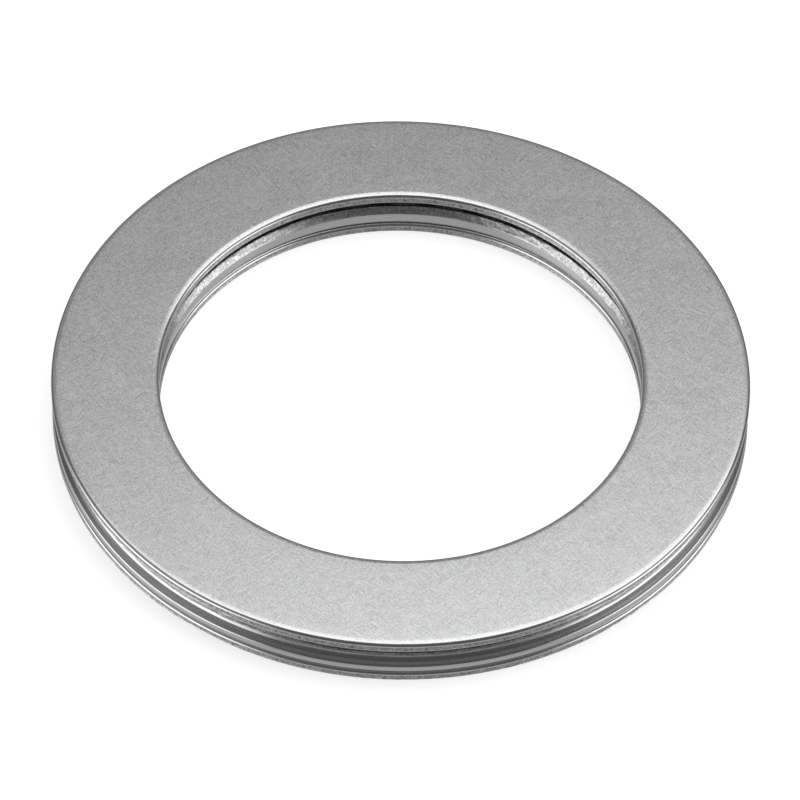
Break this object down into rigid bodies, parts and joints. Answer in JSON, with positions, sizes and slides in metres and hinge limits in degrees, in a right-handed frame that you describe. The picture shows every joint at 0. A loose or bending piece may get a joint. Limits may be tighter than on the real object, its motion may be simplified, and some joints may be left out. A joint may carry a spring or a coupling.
{
  "type": "axial needle roller bearing",
  "caption": "Thin thrust bearing: a pressed-steel cage of needle rollers between two flat hardened washers, open through the middle.",
  "frame": {"origin": "centre of the lower washer's seat face, on the bearing axis", "axes": "+Z along the bearing axis, from the lower washer to the upper washer; the bearing is round, so +X and +Y are free, and +X runs along the first needle"},
  "size_m": [0.065, 0.065, 0.005],
  "materials": {
    "washer_steel": "hardened bearing steel, flat faces lapped to a fine random satin grain, sheared rims",
    "cage_steel": "pressed low-carbon steel sheet, smooth drawn walls and rough trimmed edges",
    "needle_steel": "hardened and polished bearing steel"
  },
  "bodies": {
    "lower_washer": {"lower_washer": "washer_steel"},
    "upper_washer": {"upper_washer": "washer_steel"},
    "cage": {"cage": "cage_steel"},
    "needle_01": {"needle_01": "needle_steel"},
    "needle_02": {"needle_02": "needle_steel"},
    "needle_03": {"needle_03": "needle_steel"},
    "needle_04": {"needle_04": "needle_steel"},
    "needle_05": {"needle_05": "needle_steel"},
    "needle_06": {"needle_06": "needle_steel"},
    "needle_07": {"needle_07": "needle_steel"},
    "needle_08": {"needle_08": "needle_steel"},
    "needle_09": {"needle_09": "needle_steel"},
    "needle_10": {"needle_10": "needle_steel"},
    "needle_11": {"needle_11": "needle_steel"},
    "needle_12": {"needle_12": "needle_steel"},
    "needle_13": {"needle_13": "needle_steel"},
    "needle_14": {"needle_14": "needle_steel"},
    "needle_15": {"needle_15": "needle_steel"},
    "needle_16": {"needle_16": "needle_steel"},
    "needle_17": {"needle_17": "needle_steel"},
    "needle_18": {"needle_18": "needle_steel"},
    "needle_19": {"needle_19": "needle_steel"},
    "needle_20": {"needle_20": "needle_steel"},
    "needle_21": {"needle_21": "needle_steel"},
    "needle_22": {"needle_22": "needle_steel"},
    "needle_23": {"needle_23": "needle_steel"},
    "needle_24": {"needle_24": "needle_steel"},
    "needle_25": {"needle_25": "needle_steel"},
    "needle_26": {"needle_26": "needle_steel"},
    "needle_27": {"needle_27": "needle_steel"},
    "needle_28": {"needle_28": "needle_steel"},
    "needle_29": {"needle_29": "needle_steel"},
    "needle_30": {"needle_30": "needle_steel"},
    "needle_31": {"needle_31": "needle_steel"},
    "needle_32": {"needle_32": "needle_steel"},
    "needle_33": {"needle_33": "needle_steel"},
    "needle_34": {"needle_34": "needle_steel"},
    "needle_35": {"needle_35": "needle_steel"},
    "needle_36": {"needle_36": "needle_steel"}
  },
  "joints": [
    {"name": "washer_spin", "type": "hinge", "parent": "lower_washer", "child": "upper_washer", "pos_m": [0, 0, 0.0045], "axis": [0, 0, 1], "continuous": true},
    {"name": "cage_spin", "type": "hinge", "parent": "lower_washer", "child": "cage", "pos_m": [0, 0, 0.0025], "axis": [0, 0, 1], "continuous": true},
    {"name": "needle_01_spin", "type": "hinge", "parent": "cage", "child": "needle_01", "pos_m": [0.02825, 0, 0.0025], "axis": [1, 0, 0], "continuous": true},
    {"name": "needle_02_spin", "type": "hinge", "parent": "cage", "child": "needle_02", "pos_m": [0.02782, 0.00491, 0.0025], "axis": [0.9848, 0.1736, 0], "continuous": true},
    {"name": "needle_03_spin", "type": "hinge", "parent": "cage", "child": "needle_03", "pos_m": [0.02655, 0.00966, 0.0025], "axis": [0.9397, 0.342, 0], "continuous": true},
    {"name": "needle_04_spin", "type": "hinge", "parent": "cage", "child": "needle_04", "pos_m": [0.02447, 0.01413, 0.0025], "axis": [0.866, 0.5, 0], "continuous": true},
    {"name": "needle_05_spin", "type": "hinge", "parent": "cage", "child": "needle_05", "pos_m": [0.02164, 0.01816, 0.0025], "axis": [0.766, 0.6428, 0], "continuous": true},
    {"name": "needle_06_spin", "type": "hinge", "parent": "cage", "child": "needle_06", "pos_m": [0.01816, 0.02164, 0.0025], "axis": [0.6428, 0.766, 0], "continuous": true},
    {"name": "needle_07_spin", "type": "hinge", "parent": "cage", "child": "needle_07", "pos_m": [0.01413, 0.02447, 0.0025], "axis": [0.5, 0.866, 0], "continuous": true},
    {"name": "needle_08_spin", "type": "hinge", "parent": "cage", "child": "needle_08", "pos_m": [0.00966, 0.02655, 0.0025], "axis": [0.342, 0.9397, 0], "continuous": true},
    {"name": "needle_09_spin", "type": "hinge", "parent": "cage", "child": "needle_09", "pos_m": [0.00491, 0.02782, 0.0025], "axis": [0.1736, 0.9848, 0], "continuous": true},
    {"name": "needle_10_spin", "type": "hinge", "parent": "cage", "child": "needle_10", "pos_m": [0, 0.02825, 0.0025], "axis": [0, 1, 0], "continuous": true},
    {"name": "needle_11_spin", "type": "hinge", "parent": "cage", "child": "needle_11", "pos_m": [-0.00491, 0.02782, 0.0025], "axis": [-0.1736, 0.9848, 0], "continuous": true},
    {"name": "needle_12_spin", "type": "hinge", "parent": "cage", "child": "needle_12", "pos_m": [-0.00966, 0.02655, 0.0025], "axis": [-0.342, 0.9397, 0], "continuous": true},
    {"name": "needle_13_spin", "type": "hinge", "parent": "cage", "child": "needle_13", "pos_m": [-0.01413, 0.02447, 0.0025], "axis": [-0.5, 0.866, 0], "continuous": true},
    {"name": "needle_14_spin", "type": "hinge", "parent": "cage", "child": "needle_14", "pos_m": [-0.01816, 0.02164, 0.0025], "axis": [-0.6428, 0.766, 0], "continuous": true},
    {"name": "needle_15_spin", "type": "hinge", "parent": "cage", "child": "needle_15", "pos_m": [-0.02164, 0.01816, 0.0025], "axis": [-0.766, 0.6428, 0], "continuous": true},
    {"name": "needle_16_spin", "type": "hinge", "parent": "cage", "child": "needle_16", "pos_m": [-0.02447, 0.01413, 0.0025], "axis": [-0.866, 0.5, 0], "continuous": true},
    {"name": "needle_17_spin", "type": "hinge", "parent": "cage", "child": "needle_17", "pos_m": [-0.02655, 0.00966, 0.0025], "axis": [-0.9397, 0.342, 0], "continuous": true},
    {"name": "needle_18_spin", "type": "hinge", "parent": "cage", "child": "needle_18", "pos_m": [-0.02782, 0.00491, 0.0025], "axis": [-0.9848, 0.1736, 0], "continuous": true},
    {"name": "needle_19_spin", "type": "hinge", "parent": "cage", "child": "needle_19", "pos_m": [-0.02825, 0, 0.0025], "axis": [-1, 0, 0], "continuous": true},
    {"name": "needle_20_spin", "type": "hinge", "parent": "cage", "child": "needle_20", "pos_m": [-0.02782, -0.00491, 0.0025], "axis": [-0.9848, -0.1736, 0], "continuous": true},
    {"name": "needle_21_spin", "type": "hinge", "parent": "cage", "child": "needle_21", "pos_m": [-0.02655, -0.00966, 0.0025], "axis": [-0.9397, -0.342, 0], "continuous": true},
    {"name": "needle_22_spin", "type": "hinge", "parent": "cage", "child": "needle_22", "pos_m": [-0.02447, -0.01413, 0.0025], "axis": [-0.866, -0.5, 0], "continuous": true},
    {"name": "needle_23_spin", "type": "hinge", "parent": "cage", "child": "needle_23", "pos_m": [-0.02164, -0.01816, 0.0025], "axis": [-0.766, -0.6428, 0], "continuous": true},
    {"name": "needle_24_spin", "type": "hinge", "parent": "cage", "child": "needle_24", "pos_m": [-0.01816, -0.02164, 0.0025], "axis": [-0.6428, -0.766, 0], "continuous": true},
    {"name": "needle_25_spin", "type": "hinge", "parent": "cage", "child": "needle_25", "pos_m": [-0.01413, -0.02447, 0.0025], "axis": [-0.5, -0.866, 0], "continuous": true},
    {"name": "needle_26_spin", "type": "hinge", "parent": "cage", "child": "needle_26", "pos_m": [-0.00966, -0.02655, 0.0025], "axis": [-0.342, -0.9397, 0], "continuous": true},
    {"name": "needle_27_spin", "type": "hinge", "parent": "cage", "child": "needle_27", "pos_m": [-0.00491, -0.02782, 0.0025], "axis": [-0.1736, -0.9848, 0], "continuous": true},
    {"name": "needle_28_spin", "type": "hinge", "parent": "cage", "child": "needle_28", "pos_m": [0, -0.02825, 0.0025], "axis": [0, -1, 0], "continuous": true},
    {"name": "needle_29_spin", "type": "hinge", "parent": "cage", "child": "needle_29", "pos_m": [0.00491, -0.02782, 0.0025], "axis": [0.1736, -0.9848, 0], "continuous": true},
    {"name": "needle_30_spin", "type": "hinge", "parent": "cage", "child": "needle_30", "pos_m": [0.00966, -0.02655, 0.0025], "axis": [0.342, -0.9397, 0], "continuous": true},
    {"name": "needle_31_spin", "type": "hinge", "parent": "cage", "child": "needle_31", "pos_m": [0.01413, -0.02447, 0.0025], "axis": [0.5, -0.866, 0], "continuous": true},
    {"name": "needle_32_spin", "type": "hinge", "parent": "cage", "child": "needle_32", "pos_m": [0.01816, -0.02164, 0.0025], "axis": [0.6428, -0.766, 0], "continuous": true},
    {"name": "needle_33_spin", "type": "hinge", "parent": "cage", "child": "needle_33", "pos_m": [0.02164, -0.01816, 0.0025], "axis": [0.766, -0.6428, 0], "continuous": true},
    {"name": "needle_34_spin", "type": "hinge", "parent": "cage", "child": "needle_34", "pos_m": [0.02447, -0.01413, 0.0025], "axis": [0.866, -0.5, 0], "continuous": true},
    {"name": "needle_35_spin", "type": "hinge", "parent": "cage", "child": "needle_35", "pos_m": [0.02655, -0.00966, 0.0025], "axis": [0.9397, -0.342, 0], "continuous": true},
    {"name": "needle_36_spin", "type": "hinge", "parent": "cage", "child": "needle_36", "pos_m": [0.02782, -0.00491, 0.0025], "axis": [0.9848, -0.1736, 0], "continuous": true}
  ],
  "couplings": [
    {"joint": "cage_spin", "follows": "washer_spin", "ratio": 0.5},
    {"joint": "needle_01_spin", "follows": "washer_spin", "ratio": -9.4167},
    {"joint": "needle_02_spin", "follows": "washer_spin", "ratio": -9.4167},
    {"joint": "needle_03_spin", "follows": "washer_spin", "ratio": -9.4167},
    {"joint": "needle_04_spin", "follows": "washer_spin", "ratio": -9.4167},
    {"joint": "needle_05_spin", "follows": "washer_spin", "ratio": -9.4167},
    {"joint": "needle_06_spin", "follows": "washer_spin", "ratio": -9.4167},
    {"joint": "needle_07_spin", "follows": "washer_spin", "ratio": -9.4167},
    {"joint": "needle_08_spin", "follows": "washer_spin", "ratio": -9.4167},
    {"joint": "needle_09_spin", "follows": "washer_spin", "ratio": -9.4167},
    {"joint": "needle_10_spin", "follows": "washer_spin", "ratio": -9.4167},
    {"joint": "needle_11_spin", "follows": "washer_spin", "ratio": -9.4167},
    {"joint": "needle_12_spin", "follows": "washer_spin", "ratio": -9.4167},
    {"joint": "needle_13_spin", "follows": "washer_spin", "ratio": -9.4167},
    {"joint": "needle_14_spin", "follows": "washer_spin", "ratio": -9.4167},
    {"joint": "needle_15_spin", "follows": "washer_spin", "ratio": -9.4167},
    {"joint": "needle_16_spin", "follows": "washer_spin", "ratio": -9.4167},
    {"joint": "needle_17_spin", "follows": "washer_spin", "ratio": -9.4167},
    {"joint": "needle_18_spin", "follows": "washer_spin", "ratio": -9.4167},
    {"joint": "needle_19_spin", "follows": "washer_spin", "ratio": -9.4167},
    {"joint": "needle_20_spin", "follows": "washer_spin", "ratio": -9.4167},
    {"joint": "needle_21_spin", "follows": "washer_spin", "ratio": -9.4167},
    {"joint": "needle_22_spin", "follows": "washer_spin", "ratio": -9.4167},
    {"joint": "needle_23_spin", "follows": "washer_spin", "ratio": -9.4167},
    {"joint": "needle_24_spin", "follows": "washer_spin", "ratio": -9.4167},
    {"joint": "needle_25_spin", "follows": "washer_spin", "ratio": -9.4167},
    {"joint": "needle_26_spin", "follows": "washer_spin", "ratio": -9.4167},
    {"joint": "needle_27_spin", "follows": "washer_spin", "ratio": -9.4167},
    {"joint": "needle_28_spin", "follows": "washer_spin", "ratio": -9.4167},
    {"joint": "needle_29_spin", "follows": "washer_spin", "ratio": -9.4167},
    {"joint": "needle_30_spin", "follows": "washer_spin", "ratio": -9.4167},
    {"joint": "needle_31_spin", "follows": "washer_spin", "ratio": -9.4167},
    {"joint": "needle_32_spin", "follows": "washer_spin", "ratio": -9.4167},
    {"joint": "needle_33_spin", "follows": "washer_spin", "ratio": -9.4167},
    {"joint": "needle_34_spin", "follows": "washer_spin", "ratio": -9.4167},
    {"joint": "needle_35_spin", "follows": "washer_spin", "ratio": -9.4167},
    {"joint": "needle_36_spin", "follows": "washer_spin", "ratio": -9.4167}
  ]
}
